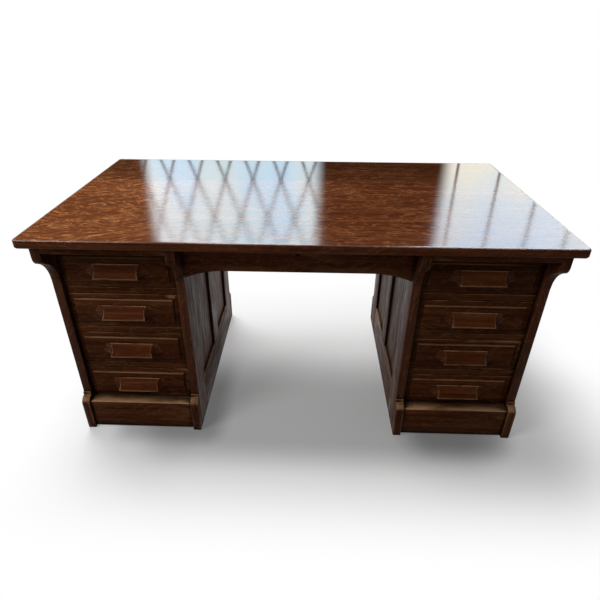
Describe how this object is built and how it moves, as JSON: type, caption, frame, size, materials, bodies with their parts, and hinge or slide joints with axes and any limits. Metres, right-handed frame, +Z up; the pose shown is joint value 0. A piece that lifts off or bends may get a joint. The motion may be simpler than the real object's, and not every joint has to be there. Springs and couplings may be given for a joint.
{
  "type": "partners desk",
  "caption": "Oak pedestal desk worked at from either long side, with panelled pedestals of drawers, pull-out writing slides and arched centre drawers over an open kneehole.",
  "frame": {"origin": "on the floor, under the middle of the top", "axes": "+X along the desk, to the right of a person at the front; +Y from the front to the rear; +Z up"},
  "size_m": [1.59, 0.872, 0.76],
  "materials": {
    "oak": "dark stained quarter-sawn oak under glossy varnish"
  },
  "bodies": {
    "desk": {"desk_top": "oak", "left_outer_stiles": "oak", "left_outer_rails": "oak", "left_outer_panels": "oak", "left_inner_stiles": "oak", "left_inner_rails": "oak", "left_inner_panels": "oak", "right_inner_stiles": "oak", "right_inner_rails": "oak", "right_inner_panels": "oak", "right_outer_stiles": "oak", "right_outer_rails": "oak", "right_outer_panels": "oak", "corbel_brackets": "oak", "foot_blocks": "oak", "plinth_boards": "oak", "pedestal_partitions": "oak", "centre_drawer_runners": "oak", "left_drawer_rails": "oak", "right_drawer_rails": "oak", "left_drawer_runners": "oak", "right_drawer_runners": "oak"},
    "front_left_drawer_1": {"front_left_drawer_1": "oak", "front_left_pull_1": "oak"},
    "front_left_drawer_2": {"front_left_drawer_2": "oak", "front_left_pull_2": "oak"},
    "front_left_drawer_3": {"front_left_drawer_3": "oak", "front_left_pull_3": "oak"},
    "front_left_drawer_4": {"front_left_drawer_4": "oak", "front_left_pull_4": "oak"},
    "front_left_writing_slide": {"front_left_writing_slide": "oak"},
    "front_right_drawer_1": {"front_right_drawer_1": "oak", "front_right_pull_1": "oak"},
    "front_right_drawer_2": {"front_right_drawer_2": "oak", "front_right_pull_2": "oak"},
    "front_right_drawer_3": {"front_right_drawer_3": "oak", "front_right_pull_3": "oak"},
    "front_right_drawer_4": {"front_right_drawer_4": "oak", "front_right_pull_4": "oak"},
    "front_right_writing_slide": {"front_right_writing_slide": "oak"},
    "front_centre_drawer": {"front_centre_drawer": "oak"},
    "rear_left_drawer_1": {"rear_left_drawer_1": "oak", "rear_left_pull_1": "oak"},
    "rear_left_drawer_2": {"rear_left_drawer_2": "oak", "rear_left_pull_2": "oak"},
    "rear_left_drawer_3": {"rear_left_drawer_3": "oak", "rear_left_pull_3": "oak"},
    "rear_left_drawer_4": {"rear_left_drawer_4": "oak", "rear_left_pull_4": "oak"},
    "rear_left_writing_slide": {"rear_left_writing_slide": "oak"},
    "rear_right_drawer_1": {"rear_right_drawer_1": "oak", "rear_right_pull_1": "oak"},
    "rear_right_drawer_2": {"rear_right_drawer_2": "oak", "rear_right_pull_2": "oak"},
    "rear_right_drawer_3": {"rear_right_drawer_3": "oak", "rear_right_pull_3": "oak"},
    "rear_right_drawer_4": {"rear_right_drawer_4": "oak", "rear_right_pull_4": "oak"},
    "rear_right_writing_slide": {"rear_right_writing_slide": "oak"},
    "rear_centre_drawer": {"rear_centre_drawer": "oak"}
  },
  "joints": [
    {"name": "front_left_drawer_1_slide", "type": "slide", "parent": "desk", "child": "front_left_drawer_1", "axis": [0, -1, 0], "range_m": [0, 0.24]},
    {"name": "front_left_drawer_2_slide", "type": "slide", "parent": "desk", "child": "front_left_drawer_2", "axis": [0, -1, 0], "range_m": [0, 0.24]},
    {"name": "front_left_drawer_3_slide", "type": "slide", "parent": "desk", "child": "front_left_drawer_3", "axis": [0, -1, 0], "range_m": [0, 0.24]},
    {"name": "front_left_drawer_4_slide", "type": "slide", "parent": "desk", "child": "front_left_drawer_4", "axis": [0, -1, 0], "range_m": [0, 0.24]},
    {"name": "front_left_writing_slide_slide", "type": "slide", "parent": "desk", "child": "front_left_writing_slide", "axis": [0, -1, 0], "range_m": [0, 0.28]},
    {"name": "front_right_drawer_1_slide", "type": "slide", "parent": "desk", "child": "front_right_drawer_1", "axis": [0, -1, 0], "range_m": [0, 0.24]},
    {"name": "front_right_drawer_2_slide", "type": "slide", "parent": "desk", "child": "front_right_drawer_2", "axis": [0, -1, 0], "range_m": [0, 0.24]},
    {"name": "front_right_drawer_3_slide", "type": "slide", "parent": "desk", "child": "front_right_drawer_3", "axis": [0, -1, 0], "range_m": [0, 0.24]},
    {"name": "front_right_drawer_4_slide", "type": "slide", "parent": "desk", "child": "front_right_drawer_4", "axis": [0, -1, 0], "range_m": [0, 0.24]},
    {"name": "front_right_writing_slide_slide", "type": "slide", "parent": "desk", "child": "front_right_writing_slide", "axis": [0, -1, 0], "range_m": [0, 0.28]},
    {"name": "front_centre_drawer_slide", "type": "slide", "parent": "desk", "child": "front_centre_drawer", "axis": [0, -1, 0], "range_m": [0, 0.24]},
    {"name": "rear_left_drawer_1_slide", "type": "slide", "parent": "desk", "child": "rear_left_drawer_1", "axis": [0, 1, 0], "range_m": [0, 0.24]},
    {"name": "rear_left_drawer_2_slide", "type": "slide", "parent": "desk", "child": "rear_left_drawer_2", "axis": [0, 1, 0], "range_m": [0, 0.24]},
    {"name": "rear_left_drawer_3_slide", "type": "slide", "parent": "desk", "child": "rear_left_drawer_3", "axis": [0, 1, 0], "range_m": [0, 0.24]},
    {"name": "rear_left_drawer_4_slide", "type": "slide", "parent": "desk", "child": "rear_left_drawer_4", "axis": [0, 1, 0], "range_m": [0, 0.24]},
    {"name": "rear_left_writing_slide_slide", "type": "slide", "parent": "desk", "child": "rear_left_writing_slide", "axis": [0, 1, 0], "range_m": [0, 0.28]},
    {"name": "rear_right_drawer_1_slide", "type": "slide", "parent": "desk", "child": "rear_right_drawer_1", "axis": [0, 1, 0], "range_m": [0, 0.24]},
    {"name": "rear_right_drawer_2_slide", "type": "slide", "parent": "desk", "child": "rear_right_drawer_2", "axis": [0, 1, 0], "range_m": [0, 0.24]},
    {"name": "rear_right_drawer_3_slide", "type": "slide", "parent": "desk", "child": "rear_right_drawer_3", "axis": [0, 1, 0], "range_m": [0, 0.24]},
    {"name": "rear_right_drawer_4_slide", "type": "slide", "parent": "desk", "child": "rear_right_drawer_4", "axis": [0, 1, 0], "range_m": [0, 0.24]},
    {"name": "rear_right_writing_slide_slide", "type": "slide", "parent": "desk", "child": "rear_right_writing_slide", "axis": [0, 1, 0], "range_m": [0, 0.28]},
    {"name": "rear_centre_drawer_slide", "type": "slide", "parent": "desk", "child": "rear_centre_drawer", "axis": [0, 1, 0], "range_m": [0, 0.24]}
  ]
}
